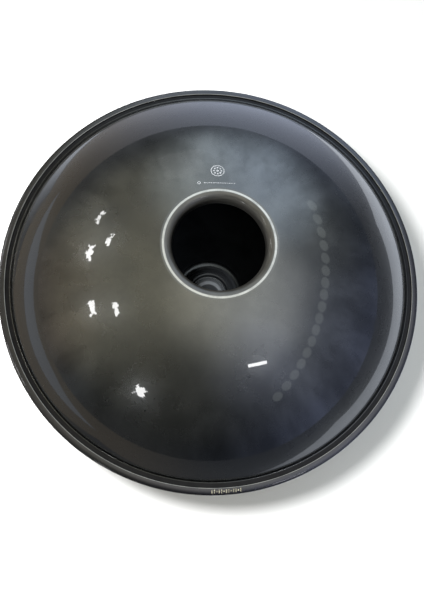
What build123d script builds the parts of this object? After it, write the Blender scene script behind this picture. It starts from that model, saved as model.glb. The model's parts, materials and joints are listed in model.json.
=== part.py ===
from build123d import *

import os
from math import cos, pi, radians, sin, sqrt

# Handpan: two pressed steel shells, bonded at their flanges and bound by a rolled steel band.
# Millimetres, +Z up with the note side on top. The origin is the centre of the flat land
# around the port, the face that the instrument stands on. The player sits on the -Y side.
# Profiles are drawn in the XZ plane, as (distance from the axis, height).

# Shells
sheet = 1.0  # thickness of both shells' steel
dome_radius = 353.0  # spherical outer face of both domes
rim_height = 115.0  # middle of the bond between the flanges
flange_radius = 277.4
foot_fillet = 4.5  # where a dome meets its flange, on the outer face

# Adhesive between the flanges
bond_gap = 0.5
bond_inner = 268.5

# Port
port_radius = 53.0
port_roll = 8.5  # rolled edge between the land and the neck
neck_depth = 15.5
land_outer = 65.0
land_bend = 6.0

# Edge band
band_sheet = 1.5
band_radius = 280.0
band_lip = 271.0  # inner edge of the band's two lips
band_corner = 1.4  # chamfer of the outer corners
band_lip_corner = 0.4  # chamfer of the lips' outer corners

# Centre note, and the ding raised in its middle
centre_field_radius = 95.0
centre_field_curve = 520.0  # flatter than the dome around it
ding_height = 18.0  # above the centre note's face
ding_foot_fillet = 14.0
ding_shoulder = 10.0
ding_step_height = 7.0
ding_step_inner = 29.0
ding_step_outer = 31.0
ding_step_fillet = 4.0

# Tone fields: a ring of flattened ovals, long axis along the meridian, with an oval dimple each
field_count = 8
field_polar = 32.0  # degrees from the axis, seen from the dome's centre
field_long_first = 75.0  # half length of the largest field
field_long_last = 52.0
field_aspect = 1.2
field_flattening = 0.033  # depth as a share of the field's half length
field_overrun = 1.06  # how far the tyre that cuts a field reaches, as a share of its half length
tyre_height = 10.0  # above the dome
dimple_share = 0.38  # dimple length as a share of its field's
dimple_depth = 0.16  # as a share of the dimple's half length

# Heights of the stack at the rim
bottom_flange_face = rim_height - bond_gap / 2 - sheet
top_flange_face = rim_height + bond_gap / 2 + sheet

# Arc centres of the bottom shell. The land bend touches the dome from inside, the foot fillet
# touches it from outside, and each touches its flat.
bottom_centre = Vector(0, land_bend + sqrt((dome_radius - land_bend) ** 2 - land_outer**2))
land_centre = Vector(land_outer, land_bend)
foot_drop = bottom_centre.Y - bottom_flange_face + foot_fillet
foot_radius = sqrt((dome_radius + foot_fillet) ** 2 - foot_drop**2)
bottom_foot_centre = Vector(foot_radius, bottom_flange_face - foot_fillet)

# Arc centres of the top shell, which has the same dome turned over
top_centre = Vector(0, 2 * rim_height - bottom_centre.Y)
top_foot_centre = Vector(foot_radius, top_flange_face + foot_fillet)
centre_field_edge = top_centre.Y + sqrt(dome_radius**2 - centre_field_radius**2)
centre_field_drop = sqrt(centre_field_curve**2 - centre_field_radius**2)
flat_centre = Vector(0, centre_field_edge - centre_field_drop)
flat_top = flat_centre.Y + centre_field_curve
step_height = flat_top + ding_step_height
shoulder_centre = Vector(ding_step_outer, step_height - ding_shoulder)
step_fillet_centre = Vector(ding_step_inner, step_height + ding_step_fillet)


def towards(start, end, reach):
    """The point at a distance from start on the way to end."""
    return start + (end - start).normalized() * reach


def crossing(centre_a, radius_a, centre_b, radius_b):
    """The point off the axis where two circles centred on the axis cross."""
    power_a = radius_a**2 - centre_a.Y**2
    power_b = radius_b**2 - centre_b.Y**2
    height = (power_b - power_a) / (2 * (centre_a.Y - centre_b.Y))
    return Vector(sqrt(radius_a**2 - (height - centre_a.Y) ** 2), height)


def ding_foot_centre():
    """Centre of the hollow arc that touches the centre note's sphere and the ding's shoulder."""
    from_flat = centre_field_curve + ding_foot_fillet
    from_shoulder = ding_shoulder + ding_foot_fillet
    span = shoulder_centre - flat_centre
    along = (from_flat**2 - from_shoulder**2 + span.length**2) / (2 * span.length)
    across = sqrt(from_flat**2 - along**2)
    direction = span.normalized()
    return flat_centre + direction * along + Vector(direction.Y, -direction.X) * across


def ding_cap_radius():
    """Radius of the ding's middle, which touches the step's fillet and has the ding's height."""
    drop = ding_height - ding_step_height - ding_step_fillet
    rise = drop + ding_step_fillet
    return (ding_step_inner**2 + drop**2 - ding_step_fillet**2) / (2 * rise)


foot_centre = ding_foot_centre()
cap_radius = ding_cap_radius()
cap_centre = Vector(0, flat_top + ding_height - cap_radius)


def tone_fields():
    """(half length, azimuth) of each field: the largest by the player, then right and left in turn."""
    step = (field_long_first - field_long_last) / (field_count - 1)
    lengths = [field_long_first - step * i for i in range(field_count)]
    ring = dome_radius * sin(radians(field_polar))
    fields = []
    for side, own in ((1, lengths[0::2]), (-1, lengths[1::2])):
        widths = [2 * length / field_aspect for length in own]
        gap = (pi * ring - sum(widths)) / len(own)
        travelled = gap / 2
        for length, width in zip(own, widths):
            turn = (travelled + width / 2) / ring * 180 / pi
            fields.append((length, -90 + side * turn))
            travelled += width + gap
    return fields


def field_plane(azimuth):
    """Plane on the dome's outer face: x along the meridian and outwards, y along the normal."""
    around = radians(azimuth)
    polar = radians(field_polar)
    normal = Vector(sin(polar) * cos(around), sin(polar) * sin(around), cos(polar))
    meridian = Vector(cos(polar) * cos(around), cos(polar) * sin(around), -sin(polar))
    origin = Vector(0, 0, top_centre.Y) + normal * dome_radius
    return Plane(origin=origin, x_dir=meridian, z_dir=meridian.cross(normal))


def flattened_radius(depth, half_size):
    """Radius of the arc that drops depth below the dome over half_size."""
    return 1 / (1 / dome_radius - 2 * depth / half_size**2)


def hollow_radius(depth, half_size, ground_radius):
    """Radius of the arc that sinks depth into ground of a given radius over half_size."""
    return 1 / (2 * depth / half_size**2 - 1 / ground_radius)


def note_side_body(lowering, reach):
    """All that lies under the note side's outer face, lowered, out to reach past the flange.

    Every arc keeps its centre: a round one loses the lowering and a hollow one gains it.
    """
    dome = dome_radius - lowering
    flat = centre_field_curve - lowering
    shoulder = ding_shoulder - lowering
    hollow = ding_foot_fillet + lowering
    cap = cap_radius - lowering
    step = step_height - lowering
    flange = top_flange_face - lowering
    floor = rim_height - sheet - reach

    cap_top = Vector(0, cap_centre.Y + cap)
    cap_end = towards(cap_centre, step_fillet_centre, cap)
    shoulder_end = towards(shoulder_centre, foot_centre, shoulder)
    ding_end = towards(foot_centre, flat_centre, hollow)
    field_end = crossing(top_centre, dome, flat_centre, flat)
    dome_end = towards(top_centre, top_foot_centre, dome)

    with BuildPart() as body:
        with BuildSketch(Plane.XZ):
            with BuildLine():
                RadiusArc(cap_top, cap_end, cap)
                RadiusArc(cap_end, (ding_step_inner, step), -(ding_step_fillet + lowering))
                Line((ding_step_inner, step), (ding_step_outer, step))
                RadiusArc((ding_step_outer, step), shoulder_end, shoulder)
                RadiusArc(shoulder_end, ding_end, -hollow)
                RadiusArc(ding_end, field_end, flat)
                RadiusArc(field_end, dome_end, dome)
                RadiusArc(dome_end, (foot_radius, flange), -(foot_fillet + lowering))
                Line((foot_radius, flange), (flange_radius + reach, flange))
                Line((flange_radius + reach, flange), (flange_radius + reach, floor))
                Line((flange_radius + reach, floor), (0, floor))
                Line((0, floor), cap_top)
            make_face()
        revolve(axis=Axis.Z)

        for half_length, azimuth in tone_fields():
            half_width = half_length / field_aspect
            sink = field_flattening * half_length
            long_curve = flattened_radius(sink, half_length)
            wide_curve = flattened_radius(sink, half_width)
            field = field_plane(azimuth)

            # The field is cut by a tyre whose bore is barrel-shaped. It reaches a little past the
            # field's ends, where its bore already stands clear of the dome.
            barrel = long_curve - lowering
            reach_out = field_overrun * half_length
            bottom = -sink - lowering
            side = bottom - barrel + sqrt(barrel**2 - reach_out**2)
            spin = -sink - wide_curve
            with BuildSketch(field):
                with BuildLine():
                    ThreePointArc((-reach_out, side), (0, bottom), (reach_out, side))
                    Line((reach_out, side), (reach_out, tyre_height))
                    Line((reach_out, tyre_height), (-reach_out, tyre_height))
                    Line((-reach_out, tyre_height), (-reach_out, side))
                make_face()
            spin_axis = Axis(field.from_local_coords(Vector(0, spin)), field.x_dir)
            revolve(axis=spin_axis, mode=Mode.SUBTRACT)

            # The dimple is a hollow left by a spindle.
            dimple_long = dimple_share * half_length
            dimple_wide = dimple_share * half_width
            dimple_sink = dimple_depth * dimple_long
            long_hollow = hollow_radius(dimple_sink, dimple_long, long_curve)
            wide_hollow = hollow_radius(dimple_sink, dimple_wide, wide_curve)
            lowest = -sink - dimple_sink
            spindle = long_hollow + lowering
            tip = sqrt(spindle**2 - (long_hollow - wide_hollow) ** 2)
            spin = lowest + wide_hollow
            with BuildSketch(field):
                with BuildLine():
                    ThreePointArc((-tip, spin), (0, lowest - lowering), (tip, spin))
                    Line((tip, spin), (-tip, spin))
                make_face()
            spin_axis = Axis(field.from_local_coords(Vector(0, spin)), field.x_dir)
            revolve(axis=spin_axis, mode=Mode.SUBTRACT)
    return body.part


os.makedirs("parts", exist_ok=True)

# Top shell: the note side, with the ding and the ring of tone fields formed in one sheet
clear_of_flange = 5.0
outer_body = note_side_body(0, 0)
inner_body = note_side_body(sheet, clear_of_flange)
with BuildPart() as top_shell:
    add(outer_body)
    add(inner_body, mode=Mode.SUBTRACT)
top_shell.part.label = "top_shell"
export_step(top_shell.part, "parts/top_shell.step")

# Bottom shell: port neck, rolled port edge, flat land, dome and flange in one sheet
land_end = towards(bottom_centre, land_centre, dome_radius)
dome_end = towards(bottom_centre, bottom_foot_centre, dome_radius)
with BuildPart() as bottom_shell:
    with BuildSketch(Plane.XZ):
        with BuildLine():
            Line((port_radius, neck_depth), (port_radius, port_roll))
            RadiusArc((port_radius, port_roll), (port_radius + port_roll, 0), -port_roll)
            Line((port_radius + port_roll, 0), (land_outer, 0))
            RadiusArc((land_outer, 0), land_end, -land_bend)
            RadiusArc(land_end, dome_end, -dome_radius)
            RadiusArc(dome_end, (foot_radius, bottom_flange_face), foot_fillet)
            Line((foot_radius, bottom_flange_face), (flange_radius, bottom_flange_face))
            offset(amount=sheet, side=Side.LEFT)
        make_face()
    revolve(axis=Axis.Z)
bottom_shell.part.label = "bottom_shell"
export_step(bottom_shell.part, "parts/bottom_shell.step")

# Cured adhesive ring between the two flanges
with BuildPart() as flange_adhesive:
    with BuildSketch(Plane.XY.offset(rim_height - bond_gap / 2)):
        Circle(flange_radius)
        Circle(bond_inner, mode=Mode.SUBTRACT)
    extrude(amount=bond_gap)
flange_adhesive.part.label = "flange_adhesive"
export_step(flange_adhesive.part, "parts/flange_adhesive.step")

# Edge band: a U section rolled over both flanges
channel = top_flange_face - bottom_flange_face
section = channel + 2 * band_sheet
with BuildPart() as edge_band:
    with BuildSketch(Plane.XZ) as band_section:
        with Locations((band_lip, rim_height)):
            Rectangle(band_radius - band_lip, section, align=(Align.MIN, Align.CENTER))
            Rectangle(
                band_radius - band_sheet - band_lip,
                channel,
                align=(Align.MIN, Align.CENTER),
                mode=Mode.SUBTRACT,
            )
        lip_corners = band_section.vertices().group_by(Axis.X)[0].sort_by(Axis.Y)
        chamfer([lip_corners[0], lip_corners[-1]], band_lip_corner)
        outer_corners = band_section.vertices().group_by(Axis.X)[-1]
        chamfer(outer_corners, band_corner)
    revolve(axis=Axis.Z)
edge_band.part.label = "edge_band"
export_step(edge_band.part, "parts/edge_band.step")
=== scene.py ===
import json
from math import atan2, ceil, cos, pi, radians, sin, sqrt, tan

import bpy
import numpy as np
from mathutils import Matrix, Vector, noise


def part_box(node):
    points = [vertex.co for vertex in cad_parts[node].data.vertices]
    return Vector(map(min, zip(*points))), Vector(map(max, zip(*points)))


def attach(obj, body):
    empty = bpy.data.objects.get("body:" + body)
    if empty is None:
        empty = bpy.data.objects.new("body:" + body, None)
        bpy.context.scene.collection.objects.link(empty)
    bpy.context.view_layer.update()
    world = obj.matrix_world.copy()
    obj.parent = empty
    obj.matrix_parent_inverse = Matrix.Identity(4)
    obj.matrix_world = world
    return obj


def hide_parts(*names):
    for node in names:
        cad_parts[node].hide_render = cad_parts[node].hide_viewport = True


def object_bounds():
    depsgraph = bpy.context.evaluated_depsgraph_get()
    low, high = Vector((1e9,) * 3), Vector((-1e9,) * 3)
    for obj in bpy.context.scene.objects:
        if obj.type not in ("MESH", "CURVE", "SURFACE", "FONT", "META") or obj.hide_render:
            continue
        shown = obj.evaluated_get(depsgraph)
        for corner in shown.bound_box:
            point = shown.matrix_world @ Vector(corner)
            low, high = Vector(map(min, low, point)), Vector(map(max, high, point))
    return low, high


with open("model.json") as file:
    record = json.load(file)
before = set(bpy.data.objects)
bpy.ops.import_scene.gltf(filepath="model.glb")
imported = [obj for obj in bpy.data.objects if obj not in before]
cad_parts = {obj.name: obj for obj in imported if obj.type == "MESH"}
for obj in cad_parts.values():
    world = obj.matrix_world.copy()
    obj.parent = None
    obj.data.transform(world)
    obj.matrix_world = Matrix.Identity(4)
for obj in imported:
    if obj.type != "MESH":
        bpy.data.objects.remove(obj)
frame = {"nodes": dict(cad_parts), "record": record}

# A handpan: two pressed steel shells, glued at their flanges and bound by a rolled steel band.
# Metres, in the CAD frame: +Z up with the note side on top, the port's land at height 0 and the
# player on the -Y side. The camera looks up at the port side, as if the instrument lay on its
# note side, so the floor and the room turn over with the camera: see "Stage".

cad_low, cad_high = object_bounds()

# --- Sizes ------------------------------------------------------------------------------------
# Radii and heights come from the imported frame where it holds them. The rest are the pressed
# forms' own dimensions, and a profile point is (distance from the axis, height).

MM = 0.001
mounts = {mount["name"]: mount for mount in frame["record"]["mounts"]}
glue_low, glue_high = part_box("flange_adhesive")
band_low, band_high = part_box("edge_band")

SHEET = 1.0 * MM
DOME_RADIUS = 353.0 * MM
RIM_HEIGHT = (glue_low.z + glue_high.z) / 2
BOTTOM_FLANGE = glue_low.z - SHEET  # outer faces of the two flanges
TOP_FLANGE = glue_high.z + SHEET
FLANGE_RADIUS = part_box("bottom_shell")[1].x
FOOT_FILLET = 1.5 * MM

PORT_RADIUS = mounts["port"]["dims"]["r_mm"] * MM
PORT_STRAIGHT = mounts["port"]["dims"]["length_mm"] * MM
PORT_ROLL = 8.5 * MM
NECK_END = PORT_ROLL + PORT_STRAIGHT
LAND_INNER = PORT_RADIUS + PORT_ROLL
LAND_OUTER = 2 * mounts["rest_land"]["pos_m"][0] - LAND_INNER
LAND_BEND = 6.0 * MM

CENTRE_FIELD_RADIUS = 95.0 * MM
CENTRE_FIELD_CURVE = 520.0 * MM
CENTRE_FIELD_BEND = 90.0 * MM
DING_HEIGHT = 18.0 * MM
DING_FOOT_FILLET = 14.0 * MM
DING_SHOULDER = 10.0 * MM
DING_STEP_HEIGHT = 7.0 * MM
DING_STEP_INNER = 29.0 * MM
DING_STEP_OUTER = 31.0 * MM
DING_STEP_FILLET = 4.0 * MM

FIELD_COUNT = 8
FIELD_POLAR = radians(32.0)
FIELD_LONG_FIRST = 75.0 * MM
FIELD_LONG_LAST = 52.0 * MM
FIELD_ASPECT = 1.2
FIELD_FLATTENING = 0.033
FIELD_SOFTNESS = 0.06
DIMPLE_SHARE = 0.38
DIMPLE_DEPTH = 0.16
DIMPLE_SOFTNESS = 0.40

BAND_RADIUS = band_high.x
BAND_LIP = 271.0 * MM
BAND_SHEET = 1.5 * MM
BAND_HALF = (band_high.z - band_low.z) / 2
CROWN_START = 272.0 * MM
BAND_LIP_ROUND = 0.5 * MM

# Slow unevenness of the domes. It fades out at the foot, and in from the middle of each side:
# (size of the waves, seed, radius where they start, radius where they are full)
WAVE_HEIGHT = 0.10 * MM
WAVE_FADE = (235 * MM, 258 * MM)
PORT_SIDE_WAVES = (85 * MM, 1.3, 72 * MM, 120 * MM)
NOTE_SIDE_WAVES = (75 * MM, 3.7, 60 * MM, 95 * MM)

# Fineness of the meshes
SHELL_SEGMENTS = 400
BAND_SEGMENTS = 720
CROWN_STEPS = 24
HALVING_RADII = (90 * MM, 45 * MM, 20 * MM)
INNER_FACE_STEP = 1.6  # the inner faces' steps are this much longer


# --- Profiles ---------------------------------------------------------------------------------

def towards(start, end, reach):
    """The point at a distance from start on the way to end."""
    return start + (end - start).normalized() * reach


def meet(centre_a, radius_a, centre_b, radius_b):
    """The right-hand point where two circles cross, looking from the first centre to the other."""
    span = centre_b - centre_a
    along = (radius_a**2 - radius_b**2 + span.length**2) / (2 * span.length)
    across = sqrt(radius_a**2 - along**2)
    direction = span.normalized()
    return centre_a + direction * along + Vector((direction.y, -direction.x)) * across


def line(start, end, step):
    """Points from start to end, no further apart than step."""
    count = max(1, ceil((end - start).length / step))
    return [start.lerp(end, i / count) for i in range(count + 1)]


def arc(centre, start, end, step):
    """Points on the shorter way round centre from start to end, no further apart than step."""
    first, last = start - centre, end - centre
    angle = atan2(first.x * last.y - first.y * last.x, first.dot(last))
    count = max(2, ceil(abs(angle) * first.length / step))
    points = []
    for i in range(count + 1):
        turn = Matrix.Rotation(angle * i / count, 2)
        points.append(centre + turn @ first)
    return points


def join(*stretches):
    """One list of profile points, with the shared end of each two stretches kept once."""
    points = list(stretches[0])
    for stretch in stretches[1:]:
        points += stretch[1:]
    return points


def left_of(points, distance):
    """The same profile moved sideways, to the left of its own direction."""
    moved = []
    for i, point in enumerate(points):
        along = points[min(i + 1, len(points) - 1)] - points[max(i - 1, 0)]
        along.normalize()
        moved.append(point + Vector((-along.y, along.x)) * distance)
    return moved


bottom_centre = Vector((0, LAND_BEND + sqrt((DOME_RADIUS - LAND_BEND) ** 2 - LAND_OUTER**2)))
top_centre = Vector((0, 2 * RIM_HEIGHT - bottom_centre.y))


def foot_centre_of(dome_centre, flange, side):
    """Centre of the fillet between a dome and its flange; side is 1 on top and -1 below."""
    height = flange + side * FOOT_FILLET
    reach = sqrt((DOME_RADIUS + FOOT_FILLET) ** 2 - (height - dome_centre.y) ** 2)
    return Vector((reach, height))


def bottom_outline(fine):
    """Outer face of the port side, from the neck's end to the flange's edge."""
    roll_centre = Vector((LAND_INNER, PORT_ROLL))
    neck_end = Vector((PORT_RADIUS, NECK_END))
    roll_start = Vector((PORT_RADIUS, PORT_ROLL))
    land_start = Vector((LAND_INNER, 0))
    land_end = Vector((LAND_OUTER, 0))
    land_centre = Vector((LAND_OUTER, LAND_BEND))
    foot_centre = foot_centre_of(bottom_centre, BOTTOM_FLANGE, -1)
    dome_start = towards(bottom_centre, land_centre, DOME_RADIUS)
    dome_end = towards(bottom_centre, foot_centre, DOME_RADIUS)
    flange_start = Vector((foot_centre.x, BOTTOM_FLANGE))
    return join(
        line(neck_end, roll_start, 1.4 * MM * fine),
        arc(roll_centre, roll_start, land_start, 0.7 * MM * fine),
        line(land_start, land_end, 0.9 * MM * fine),
        arc(land_centre, land_end, dome_start, 0.3 * MM * fine),
        arc(bottom_centre, dome_start, dome_end, 2.2 * MM * fine),
        arc(foot_centre, dome_end, flange_start, 0.45 * MM * fine),
        line(flange_start, Vector((FLANGE_RADIUS, BOTTOM_FLANGE)), 3 * MM * fine),
    )


def top_outline(fine):
    """Outer face of the note side, from the middle of the ding to the flange's edge."""
    edge_height = top_centre.y + sqrt(DOME_RADIUS**2 - CENTRE_FIELD_RADIUS**2)
    flat_drop = sqrt(CENTRE_FIELD_CURVE**2 - CENTRE_FIELD_RADIUS**2)
    flat_centre = Vector((0, edge_height - flat_drop))
    flat_top = flat_centre.y + CENTRE_FIELD_CURVE
    step = flat_top + DING_STEP_HEIGHT
    shoulder_centre = Vector((DING_STEP_OUTER, step - DING_SHOULDER))
    fillet_centre = Vector((DING_STEP_INNER, step + DING_STEP_FILLET))
    hollow_centre = meet(
        flat_centre, CENTRE_FIELD_CURVE + DING_FOOT_FILLET,
        shoulder_centre, DING_SHOULDER + DING_FOOT_FILLET,
    )
    drop = DING_HEIGHT - DING_STEP_HEIGHT - DING_STEP_FILLET
    rise = drop + DING_STEP_FILLET
    cap_radius = (DING_STEP_INNER**2 + drop**2 - DING_STEP_FILLET**2) / (2 * rise)
    cap_centre = Vector((0, flat_top + DING_HEIGHT - cap_radius))
    bend_centre = meet(
        flat_centre, CENTRE_FIELD_CURVE - CENTRE_FIELD_BEND,
        top_centre, DOME_RADIUS - CENTRE_FIELD_BEND,
    )
    bend_centre.x = abs(bend_centre.x)
    foot_centre = foot_centre_of(top_centre, TOP_FLANGE, 1)

    cap_end = towards(cap_centre, fillet_centre, cap_radius)
    step_start = Vector((DING_STEP_INNER, step))
    step_end = Vector((DING_STEP_OUTER, step))
    shoulder_end = towards(shoulder_centre, hollow_centre, DING_SHOULDER)
    ding_end = towards(hollow_centre, flat_centre, DING_FOOT_FILLET)
    flat_end = towards(flat_centre, bend_centre, CENTRE_FIELD_CURVE)
    dome_start = towards(top_centre, bend_centre, DOME_RADIUS)
    dome_end = towards(top_centre, foot_centre, DOME_RADIUS)
    flange_start = Vector((foot_centre.x, TOP_FLANGE))
    return join(
        arc(cap_centre, Vector((0, cap_centre.y + cap_radius)), cap_end, 1.1 * MM * fine),
        arc(fillet_centre, cap_end, step_start, 0.4 * MM * fine),
        line(step_start, step_end, 0.7 * MM * fine),
        arc(shoulder_centre, step_end, shoulder_end, 0.7 * MM * fine),
        arc(hollow_centre, shoulder_end, ding_end, 1.0 * MM * fine),
        arc(flat_centre, ding_end, flat_end, 2.2 * MM * fine),
        arc(bend_centre, flat_end, dome_start, 1.5 * MM * fine),
        arc(top_centre, dome_start, dome_end, 1.9 * MM * fine),
        arc(foot_centre, dome_end, flange_start, 0.45 * MM * fine),
        line(flange_start, Vector((FLANGE_RADIUS, TOP_FLANGE)), 3 * MM * fine),
    )


def crown(side, radius):
    """Height of the band's outside at a radius: level at the lips, then falling like an ellipse."""
    reach = max(0.0, (radius - CROWN_START) / (BAND_RADIUS - CROWN_START))
    return RIM_HEIGHT + side * BAND_HALF * sqrt(1 - reach * reach)


def band_outline():
    """Section of the band, once round: up over the top lip, down the rim and back inside."""
    low, high = RIM_HEIGHT - BAND_HALF, RIM_HEIGHT + BAND_HALF
    channel_low, channel_high = low + BAND_SHEET, high - BAND_SHEET
    channel_radius = BAND_RADIUS - BAND_SHEET
    inner = BAND_LIP + BAND_LIP_ROUND
    edge = 0.12 * MM
    outside = []
    for i in range(CROWN_STEPS + 1):
        turn = pi / CROWN_STEPS * i
        radius = CROWN_START + (BAND_RADIUS - CROWN_START) * sin(turn)
        outside.append(Vector((radius, crown(1 if turn < pi / 2 else -1, radius))))
    outside[CROWN_STEPS // 2] = Vector((BAND_RADIUS, RIM_HEIGHT))
    return join(
        line(Vector((BAND_LIP, channel_high)), Vector((BAND_LIP, high - BAND_LIP_ROUND)), MM),
        arc(Vector((inner, high - BAND_LIP_ROUND)), Vector((BAND_LIP, high - BAND_LIP_ROUND)),
            Vector((inner, high)), edge),
        line(Vector((inner, high)), Vector((CROWN_START, high)), MM),
        outside,
        line(Vector((CROWN_START, low)), Vector((inner, low)), MM),
        arc(Vector((inner, low + BAND_LIP_ROUND)), Vector((inner, low)),
            Vector((BAND_LIP, low + BAND_LIP_ROUND)), edge),
        line(Vector((BAND_LIP, low + BAND_LIP_ROUND)), Vector((BAND_LIP, channel_low)), MM),
        line(Vector((BAND_LIP, channel_low)), Vector((channel_radius, channel_low)), 4 * MM),
        line(Vector((channel_radius, channel_low)), Vector((channel_radius, channel_high)), MM),
    )


# --- Meshes -----------------------------------------------------------------------------------

ON_AXIS = 1e-6


def ring_count(radius, finest):
    """How many points a ring of this radius gets: half as many for each step towards the axis."""
    count = finest
    for limit in HALVING_RADII:
        if radius < limit:
            count //= 2
    return count


def lathe(name, profile, finest, closed, inner_from=None):
    """A mesh turned from a profile about the axis. A profile that isn't closed starts and ends
    on the axis. Rings nearer the axis have fewer points, and three triangles join each change.
    Faces from the profile point inner_from onwards take the piece's second material."""
    verts, rings = [], []
    for point in profile:
        count = 1 if point.x < ON_AXIS else ring_count(point.x, finest)
        rings.append(list(range(len(verts), len(verts) + count)))
        for i in range(count):
            turn = 2 * pi * i / count
            verts.append((point.x * cos(turn), point.x * sin(turn), point.y))
    faces, sides = [], []
    pairs = list(zip(rings, rings[1:]))
    if closed:
        pairs.append((rings[-1], rings[0]))
    for i, (a, b) in enumerate(pairs):
        strip = stitch(a, b) if len(a) <= len(b) else [face[::-1] for face in stitch(b, a)]
        faces += strip
        sides += [int(inner_from is not None and i >= inner_from)] * len(strip)
    mesh = bpy.data.meshes.new(name)
    mesh.from_pydata(verts, [], faces)
    mesh.polygons.foreach_set("material_index", sides)
    mesh.shade_smooth()
    piece = bpy.data.objects.new(name, mesh)
    bpy.context.scene.collection.objects.link(piece)
    return piece


def stitch(a, b):
    """Faces between two rings: a pole and a ring, two equal rings, or a ring and twice as many."""
    n, m = len(a), len(b)
    if n == 1:
        return [(a[0], b[i], b[(i + 1) % m]) for i in range(m)]
    if n == m:
        return [(a[i], b[i], b[(i + 1) % m], a[(i + 1) % n]) for i in range(n)]
    faces = []
    for i in range(n):
        near, far = a[i], a[(i + 1) % n]
        first, middle, last = b[2 * i], b[2 * i + 1], b[(2 * i + 2) % m]
        faces += [(near, first, middle), (near, middle, far), (far, middle, last)]
    return faces


def positions(piece):
    """The mesh's points as an array."""
    flat = np.empty(len(piece.data.vertices) * 3)
    piece.data.vertices.foreach_get("co", flat)
    return flat.reshape(-1, 3)


def move_points(piece, shift):
    """Adds a shift to every point of the mesh."""
    piece.data.vertices.foreach_set("co", (positions(piece) + shift).ravel())
    piece.data.update()


def soft_step(x, width):
    """x where x is positive and 0 where it is negative, rounded over the given width."""
    return (x + np.sqrt(x * x + width * width)) / 2


def tone_fields():
    """(half length, azimuth) of each field: the largest by the player, then right and left in turn."""
    step = (FIELD_LONG_FIRST - FIELD_LONG_LAST) / (FIELD_COUNT - 1)
    lengths = [FIELD_LONG_FIRST - step * i for i in range(FIELD_COUNT)]
    ring = DOME_RADIUS * sin(FIELD_POLAR)
    fields = []
    for side, own in ((1, lengths[0::2]), (-1, lengths[1::2])):
        widths = [2 * length / FIELD_ASPECT for length in own]
        gap = (pi * ring - sum(widths)) / len(own)
        travelled = gap / 2
        for length, width in zip(own, widths):
            fields.append((length, -pi / 2 + side * (travelled + width / 2) / ring))
            travelled += width + gap
    return fields


def radial(points, centre_height):
    """Unit directions from a point on the axis."""
    out = points - np.array((0, 0, centre_height))
    return out / np.linalg.norm(out, axis=1)[:, None]


def press_fields(points):
    """How far the tone fields and their dimples sink below the dome, at each point of the dome."""
    out = radial(points, top_centre.y)
    sunk = np.zeros(len(points))
    tilt_sin, tilt_cos = sin(FIELD_POLAR), cos(FIELD_POLAR)
    for half_length, around in tone_fields():
        half_width = half_length / FIELD_ASPECT
        normal = np.array((tilt_sin * cos(around), tilt_sin * sin(around), tilt_cos))
        meridian = np.array((tilt_cos * cos(around), tilt_cos * sin(around), -tilt_sin))
        across = np.cross(normal, meridian)
        u = DOME_RADIUS * (out @ meridian) / half_length
        v = DOME_RADIUS * (out @ across) / half_width
        inside = 1 - u**2 - v**2
        inner = 1 - (u / DIMPLE_SHARE) ** 2 - (v / DIMPLE_SHARE) ** 2
        sink = FIELD_FLATTENING * half_length * soft_step(inside, FIELD_SOFTNESS)
        sink += DIMPLE_DEPTH * DIMPLE_SHARE * half_length * soft_step(inner, DIMPLE_SOFTNESS)
        # The field itself with a margin, and not the far side of the dome's sphere.
        near = (out @ normal > 0.8) & (inside > -1)
        sunk[near] = np.maximum(sunk[near], sink[near])
    return sunk


def shell_mesh(name, outline, side):
    """A pressed shell: the outer face, and the inner face one sheet's thickness away."""
    outer = outline(1.0)
    inner = left_of(outline(INNER_FACE_STEP), side * SHEET)
    on_axis = outer[0].x < ON_AXIS
    if on_axis:
        inner[0].x = 0
    return lathe(name, outer + inner[::-1], SHELL_SEGMENTS, not on_axis, len(outer))


def settle(distance, start, end):
    """A weight that goes smoothly from 1 at start to 0 at end."""
    t = np.clip((distance - start) / (end - start), 0, 1)
    return 1 - t * t * (3 - 2 * t)


def waviness(points, size, seed, start, full):
    """Slow unevenness of a pressed dome: a height at each point, repeating about every size."""
    offset = Vector((seed, -seed, 2 * seed))
    rise = np.array([noise.noise(Vector(p) / size + offset) for p in points]) * WAVE_HEIGHT
    reach = np.hypot(points[:, 0], points[:, 1])
    return rise * settle(reach, *WAVE_FADE) * (1 - settle(reach, start, full))


def make_top_shell():
    piece = shell_mesh("note_side_shell", top_outline, -1)
    points = positions(piece)
    rise = waviness(points, *NOTE_SIDE_WAVES) - press_fields(points)
    move_points(piece, radial(points, top_centre.y) * rise[:, None])
    return piece


def make_bottom_shell():
    piece = shell_mesh("port_side_shell", bottom_outline, 1)
    # Its outline runs outwards along the underside, so the faces come out inside out.
    piece.data.flip_normals()
    points = positions(piece)
    rise = waviness(points, *PORT_SIDE_WAVES)
    move_points(piece, radial(points, bottom_centre.y) * rise[:, None])
    return piece


top_shell = make_top_shell()
bottom_shell = make_bottom_shell()
edge_band = lathe("rim_band", band_outline(), BAND_SEGMENTS, True)


# --- Marks ------------------------------------------------------------------------------------
# Plain printed marks where the maker's would be: a ring of dots like the note layout, with a row
# of dashes between it and the port, and a row of ticks and dots on the band's port side.

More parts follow.
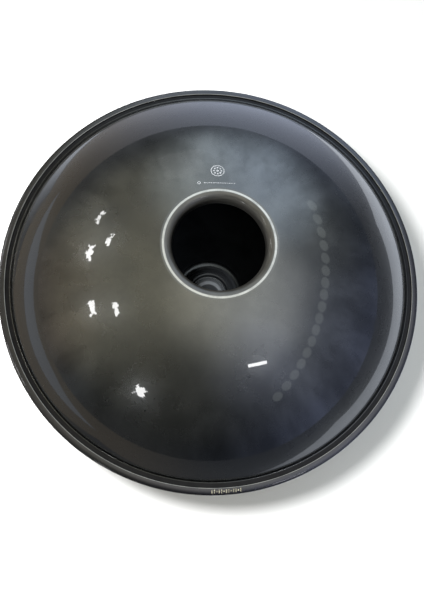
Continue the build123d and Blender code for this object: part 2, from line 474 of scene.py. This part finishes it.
PRINT_HEIGHT = 0.08 * MM
PRINT_DEPTH = 0.30 * MM
EMBLEM = Vector((2 * MM, 89 * MM))
EMBLEM_RADIUS = 8.0 * MM
EMBLEM_LINE = 0.9 * MM
EMBLEM_DOT_RING = 4.4 * MM
EMBLEM_DOT, EMBLEM_MIDDLE_DOT = 1.1 * MM, 1.5 * MM
DASHES_Y = 71.5 * MM
DASH_COUNT = 14
DASH_FIRST, DASH_STEP = 17 * MM, 2.6 * MM
DASH_HALF_WIDTH, DASH_HALF_HEIGHT = 0.95 * MM, 0.35 * MM
BADGE = Vector((23.4 * MM, DASHES_Y))
BADGE_INNER, BADGE_OUTER = 1.2 * MM, 1.9 * MM
TICK_RADIUS = BAND_LIP + 4.2 * MM
TICK_COUNT = 13
TICK_MIDDLE, TICK_STEP = 15.5 * MM, 2.9 * MM  # along the band, from the player's side clockwise
TICK_HALF_WIDTH, TICK_HALF_HEIGHT, TICK_DOT = 0.6 * MM, 2.2 * MM, 1.0 * MM
TICK_BENDS = 8


def around_circle(centre, radius, turn):
    return centre + Vector((cos(turn), sin(turn))) * radius


def disc(centre, radius, count=16):
    """Outline of a round dot."""
    return [around_circle(centre, radius, 2 * pi * i / count) for i in range(count)]


def bar(centre, half_width, half_height, steps=1):
    """The two long sides of an upright rectangle, as rows of points from its near end."""
    rows = []
    for side in (-1, 1):
        x = centre.x + side * half_width
        ys = [centre.y + half_height * (2 * i / steps - 1) for i in range(steps + 1)]
        rows.append([Vector((x, y)) for y in ys])
    return rows


def dome_height(point):
    """Height of the port side's outer face over a point of the plan."""
    height = bottom_centre.y - sqrt(DOME_RADIUS**2 - point.length_squared)
    spot = np.array([(point.x, point.y, height)])
    rise = waviness(spot, *PORT_SIDE_WAVES)
    return height + (radial(spot, bottom_centre.y) * rise[:, None])[0, 2]


def print_mesh(name, dots, rings, bars, height_of):
    """Thin closed prints on a downward face: filled dots, rings as an inner and an outer
    outline, and bars as two rows of points."""
    verts, faces = [], []

    def add(outline, rise):
        first = len(verts)
        for point in outline:
            verts.append((point.x, point.y, height_of(point) - rise))
        return list(range(first, len(verts)))

    def wall(a, b, closed=True):
        n = len(a)
        return [(a[i], a[(i + 1) % n], b[(i + 1) % n], b[i]) for i in range(n if closed else n - 1)]

    for outline in dots:
        face, back = add(outline, PRINT_HEIGHT), add(outline, -PRINT_DEPTH)
        faces += [tuple(face[::-1]), tuple(back)] + wall(face, back)
    for shapes, closed in ((rings, True), (bars, False)):
        for a, b in shapes:
            face_a, face_b = add(a, PRINT_HEIGHT), add(b, PRINT_HEIGHT)
            back_a, back_b = add(a, -PRINT_DEPTH), add(b, -PRINT_DEPTH)
            faces += wall(face_a, face_b, closed) + wall(face_b, back_b, closed)
            faces += wall(back_b, back_a, closed) + wall(back_a, face_a, closed)
            if not closed:
                faces.append((face_a[0], face_b[0], back_b[0], back_a[0]))
                faces.append((face_a[-1], back_a[-1], back_b[-1], face_b[-1]))
    mesh = bpy.data.meshes.new(name)
    mesh.from_pydata(verts, [], faces)
    piece = bpy.data.objects.new(name, mesh)
    bpy.context.scene.collection.objects.link(piece)
    return piece


def make_port_marks():
    dots = [disc(EMBLEM, EMBLEM_MIDDLE_DOT)]
    for i in range(FIELD_COUNT):
        place = around_circle(EMBLEM, EMBLEM_DOT_RING, 2 * pi * i / FIELD_COUNT)
        dots.append(disc(place, EMBLEM_DOT))
    rings = [
        (disc(EMBLEM, EMBLEM_RADIUS - EMBLEM_LINE, 48), disc(EMBLEM, EMBLEM_RADIUS, 48)),
        (disc(BADGE, BADGE_INNER, 24), disc(BADGE, BADGE_OUTER, 24)),
    ]
    bars = []
    for i in range(DASH_COUNT):
        centre = Vector((DASH_FIRST - DASH_STEP * i, DASHES_Y))
        bars.append(bar(centre, DASH_HALF_WIDTH, DASH_HALF_HEIGHT))
    return print_mesh("port_side_marks", dots, rings, bars, dome_height)


def make_band_marks():
    dots, bars = [], []
    for i in range(TICK_COUNT):
        along = TICK_MIDDLE + TICK_STEP * (i - TICK_COUNT // 2)
        centre = around_circle(Vector((0, 0)), TICK_RADIUS, -pi / 2 - along / TICK_RADIUS)
        if i % 3 == 2:
            dots.append(disc(centre, TICK_DOT))
        else:
            bars.append(bar(centre, TICK_HALF_WIDTH, TICK_HALF_HEIGHT, TICK_BENDS))
    return print_mesh("band_marks", dots, [], bars, lambda point: crown(-1, point.length))


port_marks = make_port_marks()
band_marks = make_band_marks()

for piece in (top_shell, bottom_shell, edge_band, port_marks, band_marks):
    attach(piece, "root")
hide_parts("top_shell")
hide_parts("bottom_shell")
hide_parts("edge_band")


# --- Materials --------------------------------------------------------------------------------

class Nodes:
    """A node tree with a short way to add a node, set it and wire it up."""

    def __init__(self, tree):
        self.tree = tree
        tree.nodes.clear()

    def add(self, kind, inputs=None, output=0, **settings):
        """A new node; inputs may be values or other nodes' sockets. Returns one of its outputs."""
        node = self.tree.nodes.new("ShaderNode" + kind)
        for key, value in settings.items():
            setattr(node, key, value)
        for key, value in (inputs or {}).items():
            if isinstance(value, bpy.types.NodeSocket):
                self.tree.links.new(value, node.inputs[key])
            else:
                node.inputs[key].default_value = value
        return node.outputs[output] if len(node.outputs) else node

    def math(self, operation, *values, clamp=False):
        return self.add("Math", dict(enumerate(values)), operation=operation, use_clamp=clamp)

    def vector(self, operation, *values, output=0):
        return self.add("VectorMath", dict(enumerate(values)), output=output, operation=operation)

    def noise(self, coords, scale, detail=3.0, roughness=0.5):
        inputs = {"Vector": coords, "Scale": scale, "Detail": detail, "Roughness": roughness}
        return self.add("TexNoise", inputs)

    def between(self, value, low, high, to_low=0.0, to_high=1.0, smooth=True):
        """value carried from low..high to to_low..to_high, and held there outside."""
        inputs = {"Value": value, "From Min": low, "From Max": high, "To Min": to_low, "To Max": to_high}
        kind = "SMOOTHSTEP" if smooth else "LINEAR"
        return self.add("MapRange", inputs, interpolation_type=kind, clamp=True)

    def mix(self, factor, a, b):
        """Colour a where factor is 0 and b where it is 1."""
        node = self.tree.nodes.new("ShaderNodeMix")
        node.data_type = "RGBA"
        for key, value in (("Factor_Float", factor), ("A_Color", a), ("B_Color", b)):
            socket = next(s for s in node.inputs if s.identifier == key)
            if isinstance(value, bpy.types.NodeSocket):
                self.tree.links.new(value, socket)
            else:
                socket.default_value = value
        return next(s for s in node.outputs if s.identifier == "Result_Color")


def new_material(name):
    material = bpy.data.materials.new(name)
    material.use_nodes = True
    return material, Nodes(material.node_tree)


def rgb(red, green, blue):
    return (red, green, blue, 1.0)


def band_mask(n, value, centre, full, gone):
    """1 within full of the centre, and 0 beyond gone."""
    away = n.math("ABSOLUTE", n.math("SUBTRACT", value, centre))
    return n.between(away, full, gone, 1.0, 0.0)


def blend(n, factor, inputs, other):
    """Two finishes as one set of inputs: the first where factor is 0, the other where it is 1."""
    mixed = {}
    for key, value in inputs.items():
        if key == "Base Color":
            mixed[key] = n.mix(factor, value, other[key])
        else:
            mixed[key] = n.add("Mix", {0: factor, 2: value, 3: other[key]})
    return mixed


# Painted shade darkens the crease at each dome's foot.
GUTTER_INNER = 265.3 * MM  # where the dark crease at each dome's foot starts
GUTTER_EDGE = 0.7 * MM


def lacquered_steel(
    name, light, dark, coat_roughness, coat_ior, wear_and_highlight_rings, brushed=False, gutter=False,
):
    """Dark heat-treated steel under a clear gloss lacquer, with bright rings on edges at given radii
    that are edge wear and a painted highlight: (radius, half width, how far the wear goes) each."""
    material, n = new_material(name)
    coords = n.add("TexCoord", output=3)
    reach = n.vector("LENGTH", n.vector("MULTIPLY", coords, (1, 1, 0)), output=1)

    cloud = n.between(n.noise(coords, 9.0, 4.0, 0.55), 0.35, 0.65)
    speckle = n.between(n.noise(coords, 160.0, 3.0, 0.6), 0.3, 0.7)
    colour = n.mix(cloud, rgb(*dark), rgb(*light))
    colour = n.mix(n.math("MULTIPLY", speckle, 0.22), colour, rgb(0.045, 0.047, 0.050))
    roughness = n.between(n.noise(coords, 24.0, 4.0, 0.6), 0.3, 0.7, 0.24, 0.31)
    finish = {"Base Color": colour, "Roughness": roughness, "Coat Weight": 1.0, "Metallic": 1.0}

    if brushed:
        # The port's roll and neck: duller and browner than the dome, with a paler cut edge.
        streaks = n.noise(n.vector("MULTIPLY", coords, (1, 1, 14)), 60.0, 3.0, 0.6)
        streaks = n.between(streaks, 0.3, 0.7)
        bare = n.mix(streaks, rgb(0.010, 0.0098, 0.009), rgb(0.020, 0.0195, 0.0175))
        inside = n.between(reach, LAND_INNER - 1.2 * MM, LAND_INNER, 1.0, 0.0)
        height = n.add("SeparateXYZ", {0: coords}, output=2)
        cut_edge = n.between(height, NECK_END - 1.2 * MM, NECK_END - 0.4 * MM)
        bare = n.mix(cut_edge, bare, rgb(0.05, 0.05, 0.048))
        turned = {"Base Color": bare, "Roughness": 0.36, "Coat Weight": 0.5, "Metallic": 0.35}
        finish = blend(n, inside, finish, turned)
    if gutter:
        # The crease at the dome's foot, and the flange up to the band, get painted shade: darker and
        # duller, with less coat.
        crease = n.between(reach, GUTTER_INNER, GUTTER_INNER + GUTTER_EDGE)
        crease_shade = n.mix(n.noise(coords, 90.0, 4.0), rgb(0.005, 0.005, 0.007), rgb(0.016, 0.016, 0.019))
        dull = {"Base Color": crease_shade, "Roughness": 0.5, "Coat Weight": 0.13, "Metallic": 1.0}
        finish = blend(n, crease, finish, dull)

    # The bright edge rings below are edge wear and a painted highlight together: the rubbed finish also
    # stands for the edges' highlights.
    patchy = n.between(n.noise(coords, 45.0, 5.0, 0.65), 0.32, 0.58, 0.55, 1.0)
    wear_and_highlight = 0.0
    for radius, half_width, most in wear_and_highlight_rings:
        ring = n.math("MULTIPLY", band_mask(n, reach, radius, half_width * 0.5, half_width), most)
        wear_and_highlight = ring if wear_and_highlight == 0.0 else n.math("MAXIMUM", wear_and_highlight, ring)
    wear_and_highlight = n.math("MULTIPLY", wear_and_highlight, patchy)
    scuffs = n.noise(coords, 700.0, 2.0)
    bright = n.mix(scuffs, rgb(0.50, 0.50, 0.49), rgb(0.74, 0.74, 0.72))
    rubbed = {"Base Color": bright, "Roughness": 0.34, "Coat Weight": 0.2, "Metallic": 1.0}
    finish = blend(n, wear_and_highlight, finish, rubbed)

    peel = n.noise(coords, 260.0, 2.0, 0.45)
    grain = n.noise(coords, 900.0, 2.0, 0.5)
    height = n.math("ADD", n.math("MULTIPLY", peel, 0.7), n.math("MULTIPLY", grain, 0.3))
    base_bump = n.add("Bump", {"Strength": 0.10, "Distance": 0.0002, "Height": height})
    coat_bump = n.add("Bump", {"Strength": 0.04, "Distance": 0.0001, "Height": peel})
    surface = n.add("BsdfPrincipled", {
        **finish,
        "Normal": base_bump,
        "Coat Roughness": coat_roughness,
        "Coat IOR": coat_ior,
        "Coat Normal": coat_bump,
    })
    n.add("OutputMaterial", {"Surface": surface})
    return material


def inside_steel(name, rings):
    """The inside of a shell: steel dark with heat scale, with painted reflections as brighter rings
    round the axis, from the middle out: (outer radius, how bright) each. The rings are in the
    material only, and not in the shape."""
    material, n = new_material(name)
    coords = n.add("TexCoord", output=3)
    cloud = n.between(n.noise(coords, 14.0, 4.0, 0.6), 0.35, 0.65)
    scale = n.mix(cloud, rgb(0.006, 0.007, 0.009), rgb(0.014, 0.016, 0.020))
    bright = n.mix(cloud, rgb(0.66, 0.74, 0.82), rgb(0.80, 0.86, 0.92))
    reach = n.vector("LENGTH", n.vector("MULTIPLY", coords, (1, 1, 0)), output=1)
    painted_reflection_rings = 0.0
    for radius, level in reversed(rings):
        painted_reflection_rings = n.between(reach, radius - 0.8 * MM, radius + 0.8 * MM, level, painted_reflection_rings)
    # The painted reflections also grow brighter along +x.
    across = n.add("SeparateXYZ", {0: coords}, output=0)
    painted_reflection_rings = n.math("MULTIPLY", n.between(across, -25 * MM, 30 * MM, 0.45, 1.25), painted_reflection_rings)
    colour = n.mix(painted_reflection_rings, scale, bright)
    smooth = n.between(n.noise(coords, 40.0, 4.0, 0.6), 0.3, 0.7, 0.14, 0.20)
    end = rings[-1][0] if rings else 0.0
    roughness = n.add("Mix", {0: n.between(reach, end, end + 8 * MM), 2: smooth, 3: 0.5})
    bump = n.add("Bump", {"Strength": 0.08, "Distance": 0.0002, "Height": n.noise(coords, 350.0, 3.0)})
    surface = n.add("BsdfPrincipled", {
        "Base Color": colour, "Metallic": n.between(reach, 0.0, end + 1 * MM, 0.45, 1.0, smooth=False),
        "Roughness": roughness, "Normal": bump,
    })
    n.add("OutputMaterial", {"Surface": surface})
    return material


def cured_adhesive(name):
    """Black epoxy, slightly uneven."""
    material, n = new_material(name)
    coords = n.add("TexCoord", output=3)
    mottle = n.between(n.noise(coords, 120.0, 4.0, 0.6), 0.35, 0.65)
    colour = n.mix(mottle, rgb(0.012, 0.012, 0.013), rgb(0.030, 0.028, 0.026))
    roughness = n.between(n.noise(coords, 60.0, 3.0), 0.3, 0.7, 0.35, 0.6)
    bump = n.add("Bump", {"Strength": 0.4, "Distance": 0.0003, "Height": n.noise(coords, 400.0, 3.0)})
    surface = n.add("BsdfPrincipled", {"Base Color": colour, "Roughness": roughness, "Normal": bump})
    n.add("OutputMaterial", {"Surface": surface})
    return material


def pale_print(name, light, dark):
    """Thin opaque print, a little patchy where it has rubbed."""
    material, n = new_material(name)
    coords = n.add("TexCoord", output=3)
    rubbed = n.between(n.noise(coords, 420.0, 4.0, 0.7), 0.35, 0.65)
    colour = n.mix(rubbed, rgb(*dark), rgb(*light))
    bump = n.add("Bump", {"Strength": 0.3, "Distance": 0.0001, "Height": n.noise(coords, 1500.0, 2.0)})
    roughness = n.between(rubbed, 0.0, 1.0, 0.55, 0.40)
    surface = n.add("BsdfPrincipled", {"Base Color": colour, "Roughness": roughness, "Normal": bump})
    n.add("OutputMaterial", {"Surface": surface})
    return material


SHELL_LIGHT, SHELL_DARK = (0.080, 0.082, 0.079), (0.060, 0.063, 0.066)

# The port's lip ring is edge wear and a painted highlight.
port_side_material = lacquered_steel(
    "port_side_lacquered_steel", SHELL_LIGHT, SHELL_DARK, 0.02, 1.7,
    ((LAND_INNER + 0.9 * MM, 1.5 * MM, 0.78),), brushed=True, gutter=True,
)
note_side_material = lacquered_steel(
    "note_side_lacquered_steel", SHELL_LIGHT, SHELL_DARK, 0.02, 1.7,
    ((DING_STEP_OUTER + 2 * MM, 3 * MM, 0.12),), gutter=True,
)
# The band's lip line is edge wear and a painted highlight.
band_material = lacquered_steel(
    "band_lacquered_steel", (0.030, 0.029, 0.040), (0.018, 0.019, 0.026), 0.05, 1.5,
    ((BAND_LIP + 0.3 * MM, 0.6 * MM, 0.40), (BAND_RADIUS - 0.5 * MM, 0.8 * MM, 0.10)),
)
# Painted reflections: the rings on the inside of the ding.
note_inside_material = inside_steel("note_side_inside", (
    (8.0 * MM, 1.0), (18.0 * MM, 0.14), (22.5 * MM, 1.0), (27.5 * MM, 0.36), (33.5 * MM, 0.02),
    (41.0 * MM, 0.12), (45.0 * MM, 0.22), (50.0 * MM, 0.05),
))
port_inside_material = inside_steel("port_side_inside", ())
adhesive_material = cured_adhesive("cured_adhesive")
port_print_material = pale_print("pale_print", (0.16, 0.165, 0.175), (0.085, 0.09, 0.095))
band_print_material = pale_print("gilt_print", (0.16, 0.15, 0.11), (0.05, 0.046, 0.035))

for material in (note_side_material, note_inside_material):
    top_shell.data.materials.append(material)
for material in (port_side_material, port_inside_material):
    bottom_shell.data.materials.append(material)
edge_band.data.materials.append(band_material)
port_marks.data.materials.append(port_print_material)
band_marks.data.materials.append(band_print_material)
glue = frame["nodes"]["flange_adhesive"]
glue.data.materials.clear()
glue.data.materials.append(adhesive_material)


# --- Stage ------------------------------------------------------------------------------------
# Everything here is drawn for an upright object on a floor at height 0, with x to the right, y
# away and z up. When the camera is below the object's middle, the stage turns over about Y and
# its floor touches the top of the ding: the instrument then lies on its note side.

WHITE = rgb(1.0, 1.0, 1.0)
TOP_OF_ALL = cad_high.z
MIDDLE = (cad_low.z + cad_high.z) / 2

camera_data = bpy.data.cameras.new("camera")
camera = bpy.data.objects.new("camera", camera_data)
bpy.context.scene.collection.objects.link(camera)
bpy.context.scene.camera = camera


def drive(owner, path, index, expression):
    """Drives a value from the camera's height, which the expression calls z."""
    driver = owner.driver_add(path, index).driver
    driver.type = "SCRIPTED"
    variable = driver.variables.new()
    variable.name = "z"
    variable.type = "TRANSFORMS"
    variable.targets[0].id = camera
    variable.targets[0].transform_type = "LOC_Z"
    variable.targets[0].transform_space = "WORLD_SPACE"
    driver.expression = expression


def turning_empty(name, lift):
    """An empty that turns over with the camera, and is lifted to the object's top if asked."""
    empty = bpy.data.objects.new(name, None)
    bpy.context.scene.collection.objects.link(empty)
    drive(empty, "rotation_euler", 1, f"pi * (z < {MIDDLE:.5f})")
    if lift:
        drive(empty, "location", 2, f"{TOP_OF_ALL:.5f} * (z < {MIDDLE:.5f})")
    return empty


stage_turn = turning_empty("stage_turn", True)
sky_turn = turning_empty("sky_turn", False)


def from_angles(azimuth, elevation):
    """Unit vector: azimuth 0 is to the right and 90 is away, in degrees."""
    a, e = radians(azimuth), radians(elevation)
    return Vector((cos(a) * cos(e), sin(a) * cos(e), sin(e)))


# The floor as the gloss sees it, a glow painted for glossy rays: sheets of pale card, (left,
# right, near, far, shaded) each. A shaded card has painted light and shade, brighter to the right
# and away, and the other is even.
CARDS = (
    (-0.62, 0.88, -0.80, 0.44, True),
    (-2.60, -1.00, -1.20, 0.80, False),
)
EVEN_CARD = 0.5


def make_floor():
    """Pale and level. It fades into the white far away, and to glossy rays it glows with a painted
    reflection of card on dark.
    """
    size = 14.0
    mesh = bpy.data.meshes.new("floor")
    corners = [(-size, -size, 0), (size, -size, 0), (size, size, 0), (-size, size, 0)]
    mesh.from_pydata(corners, [], [(0, 1, 2, 3)])
    floor = bpy.data.objects.new("floor", mesh)
    bpy.context.scene.collection.objects.link(floor)
    floor.parent = stage_turn

    material, n = new_material("pale_floor")
    mesh.materials.append(material)
    place = n.add("TexCoord", output=3)
    x = n.add("SeparateXYZ", {0: place}, output=0)
    y = n.add("SeparateXYZ", {0: place}, output=1)
    reach = n.vector("LENGTH", place, output=1)

    def spread(value, low, high):
        """1 between low and high, with soft ends."""
        rising = n.between(value, low - 0.01, low + 0.01)
        return n.math("MULTIPLY", rising, n.between(value, high - 0.01, high + 0.01, 1.0, 0.0))

    slope = n.math("ADD", n.math("MULTIPLY", x, 0.85), n.math("MULTIPLY", y, 0.55))
    lit = n.between(slope, -0.42, 0.05, 0.12, 1.0)
    cards = 0.0
    for left, right_end, near, far, shaded in CARDS:
        card = n.math("MULTIPLY", spread(x, left, right_end), spread(y, near, far))
        bright = lit if shaded else EVEN_CARD
        cards = n.math("MAXIMUM", n.math("MULTIPLY", card, bright), cards)
    # Painted shadow: the middle of the cards is darkened where the object would keep the light off.
    under = n.between(reach, 0.16, 0.42, 0.10, 1.0)
    cards = n.math("MULTIPLY", cards, under)
    card_colour = n.vector("SCALE", (0.84, 0.90, 1.00), output=0)
    n.tree.links.new(cards, card_colour.node.inputs["Scale"])
    away = n.between(n.math("DIVIDE", y, reach), 0.45, 1.0)
    left_side = n.between(n.math("DIVIDE", x, reach), 0.2, -0.9)
    beyond = n.mix(away, rgb(0.12, 0.13, 0.15), rgb(0.46, 0.51, 0.64))
    beyond = n.mix(left_side, beyond, rgb(0.26, 0.225, 0.18))
    # Painted reflection: to glossy rays the floor glows with this mix of cards and the room beyond them,
    # instead of being lit.
    mirrored = n.mix(n.between(cards, 0.0, 0.08), beyond, card_colour)
    mirrored = n.add("Emission", {"Color": mirrored, "Strength": 1.0})

    paper = n.add("BsdfPrincipled", {
        "Base Color": rgb(0.58, 0.58, 0.58),
        "Roughness": 0.9,
        "Specular IOR Level": 0.1,
        "Emission Color": WHITE,
        "Emission Strength": n.between(reach, 0.45, 1.6, 0.0, 0.75),
    })
    glossy = n.add("LightPath", output=3)
    surface = n.add("MixShader", {0: glossy, 1: paper, 2: mirrored})
    n.add("OutputMaterial", {"Surface": surface})


KEY_PLACE = Vector((-0.19, -0.05, 0.72))
KEY_TARGET = Vector((0.05, -0.02, 0))


def make_key_light():
    """A small soft light high over the left. It is kept out of the gloss, which mirrors the room."""
    data = bpy.data.lights.new("key", "AREA")
    data.shape = "DISK"
    data.size = 0.16
    data.energy = 17.0
    light = bpy.data.objects.new("key", data)
    bpy.context.scene.collection.objects.link(light)
    light.parent = stage_turn
    light.location = KEY_PLACE
    light.rotation_euler = (KEY_PLACE - KEY_TARGET).to_track_quat("Z", "Y").to_euler()
    light.visible_glossy = False
    light.visible_camera = False


# Soft lights: (azimuth, elevation, half angle where full, half angle where gone, colour)
SOFT_LIGHTS = (
    (338, 75, 0, 41, (1.06, 1.03, 0.94)),
    (76, 38, 8, 42, (0.98, 1.13, 1.30)),
    (165, 48, 0, 62, (0.22, 0.20, 0.15)),
    (300, 46, 0, 27, (0.31, 0.32, 0.39)),
    (180, 12, 8, 32, (0.13, 0.08, 0.04)),
    (330, 14, 0, 60, (0.10, 0.11, 0.19)),
)
# Panels and lamps: (azimuth, elevation, half width, half height, roll, edge, brightness), with
# angles in degrees. Those that stand level have ragged outlines.
PANELS = (
    (101, 26, 8, 8, 0, 1.5, 0.22),
    (302.5, 45.5, 4.4, 0.75, 20, 0.25, 14.0),
    (144, 24, 2.2, 1.0, 0, 0.5, 10.0),
    (153, 36, 2.7, 1.0, 0, 0.5, 12.0),
    (161, 28, 3.0, 1.3, 0, 0.5, 12.0),
    (188, 31, 2.6, 1.4, 0, 0.5, 12.0),
    (193, 43, 2.8, 1.2, 0, 0.5, 12.0),
    (236, 27, 2.1, 2.0, 0, 0.6, 12.0),
)
# A string of dim round lamps along the right: it is highest at one azimuth and sags away from it.
STRING_COUNT = 17
STRING_FIRST, STRING_STEP = 42, -6.1
STRING_TOP_AZIMUTH, STRING_TOP = -10, 34
STRING_SAG, STRING_SAG_REACH = 11, 52  # how far it sags, at how far from its top
STRING_LAMP, STRING_LAMP_GONE = 2.0, 2.6
STRING_COLOUR = (0.44, 0.48, 0.46)
# The room is dimmer near the player: (azimuth, elevation, half angle where dimmest, half angle
# where it ends, the share of the light that is left)
DIM_PART = (266, 25, 14, 54, 0.45)


def make_sky():
    """A dim studio with soft lights, seen in the gloss; the camera itself sees plain white."""
    world = bpy.data.worlds.new("studio")
    bpy.context.scene.world = world
    world.use_nodes = True
    n = Nodes(world.node_tree)
    direction = n.vector("NORMALIZE", n.add("TexCoord", output=3, object=sky_turn))
    height = n.add("SeparateXYZ", {0: direction}, output=2)

    def facing(axis):
        return n.vector("DOT_PRODUCT", direction, tuple(axis), output=1)

    def disc_mask(axis, gone, full, outside=0.0, inside=1.0):
        """inside within an angle of the axis, in degrees, and outside beyond another."""
        return n.between(facing(axis), cos(radians(gone)), cos(radians(full)), outside, inside)

    def plus(total, mask, colour):
        light = n.vector("SCALE", colour)
        n.tree.links.new(mask, light.node.inputs["Scale"])
        return n.vector("ADD", total, light)

    low = n.mix(n.between(height, 0.0, 0.45), rgb(0.12, 0.135, 0.17), rgb(0.30, 0.31, 0.31))
    total = n.mix(n.between(height, 0.35, 0.95), low, rgb(0.55, 0.55, 0.51))
    for azimuth, elevation, full, gone, colour in SOFT_LIGHTS:
        total = plus(total, disc_mask(from_angles(azimuth, elevation), gone, full), colour)
    bands = n.noise(n.vector("MULTIPLY", direction, (5, 5, 1.2)), 1.0, 4.0, 0.6)
    low_down = n.between(height, 0.30, 0.75, 1.0, 0.25)
    uneven = n.math("MULTIPLY", n.between(bands, 0.3, 0.7, -0.45, 0.45), low_down)
    varied = n.vector("SCALE", total)
    n.tree.links.new(n.math("ADD", uneven, 1.0), varied.node.inputs["Scale"])
    across = n.add("SeparateXYZ", {0: direction}, output=0)
    tint = n.mix(n.between(across, 0.5, -0.5), rgb(0.94, 0.99, 1.06), rgb(0.95, 0.93, 0.82))
    total = n.vector("MULTIPLY", varied, tint)
    azimuth, elevation, full, gone, left_over = DIM_PART
    dark = disc_mask(from_angles(azimuth, elevation), gone, full, 1.0, left_over)
    total = n.vector("SCALE", total)
    n.tree.links.new(dark, total.node.inputs["Scale"])
    ragged = n.between(n.noise(direction, 26.0, 3.0, 0.6), 0.3, 0.7, -0.022, 0.022, smooth=False)
    for azimuth, elevation, half_width, half_height, roll, edge, brightness in PANELS:
        axis = from_angles(azimuth, elevation)
        turn = Matrix.Rotation(radians(-roll), 3, axis)
        across = turn @ from_angles(azimuth + 90, 0)
        upward = axis.cross(across)
        ahead = n.math("MAXIMUM", facing(axis), 0.01)
        mask = 1.0
        for side, half in ((across, half_width), (upward, half_height)):
            offset = n.math("ABSOLUTE", n.math("DIVIDE", facing(side), ahead))
            if roll == 0:
                offset = n.math("ADD", offset, ragged)
            start, end = tan(radians(half - edge / 2)), tan(radians(half + edge / 2))
            mask = n.math("MULTIPLY", mask, n.between(offset, start, end, 1.0, 0.0))
        total = plus(total, mask, (brightness,) * 3)
    for i in range(STRING_COUNT):
        azimuth = STRING_FIRST + STRING_STEP * i
        sag = STRING_SAG * ((azimuth - STRING_TOP_AZIMUTH) / STRING_SAG_REACH) ** 2
        lamp = disc_mask(from_angles(azimuth, STRING_TOP - sag), STRING_LAMP_GONE, STRING_LAMP)
        total = plus(total, lamp, STRING_COLOUR)

    room_light = n.add("Background", {"Color": total, "Strength": 1.0})
    white = n.add("Background", {"Color": WHITE, "Strength": 1.0})
    seen = n.add("LightPath", output=0)
    surface = n.add("MixShader", {0: seen, 1: room_light, 2: white})
    n.add("OutputWorld", {"Surface": surface})


make_floor()
make_key_light()
make_sky()


# --- Camera -----------------------------------------------------------------------------------
# Close above the port side, tipped a little towards the player's side, so that the rim is seen
# nearly round and the port stands high in it. Offsets are shares of the rim's radius, for the
# instrument on its note side: right, away and up from the middle of its rim.

EYE = Vector((-0.134, -0.629, 2.104))
GAZE = Vector((0.059, 0.227, -0.972))
LENS = 27.5

turned_over = Matrix.Rotation(pi, 4, "Y")
rim_middle = Vector((0, 0, RIM_HEIGHT))
eye = rim_middle + turned_over @ (EYE * BAND_RADIUS)
gaze = (turned_over @ GAZE).normalized()
right = gaze.cross(turned_over @ Vector((0, 1, 0))).normalized()
image_up = right.cross(gaze)
facing = Matrix((right, image_up, -gaze)).transposed()
camera.location = eye
camera.rotation_mode = "QUATERNION"
camera.rotation_quaternion = facing.to_quaternion()
camera_data.lens = LENS
camera_data.clip_start = 0.01
camera_data.clip_end = 100.0

bpy.context.scene.view_settings.view_transform = "Standard"
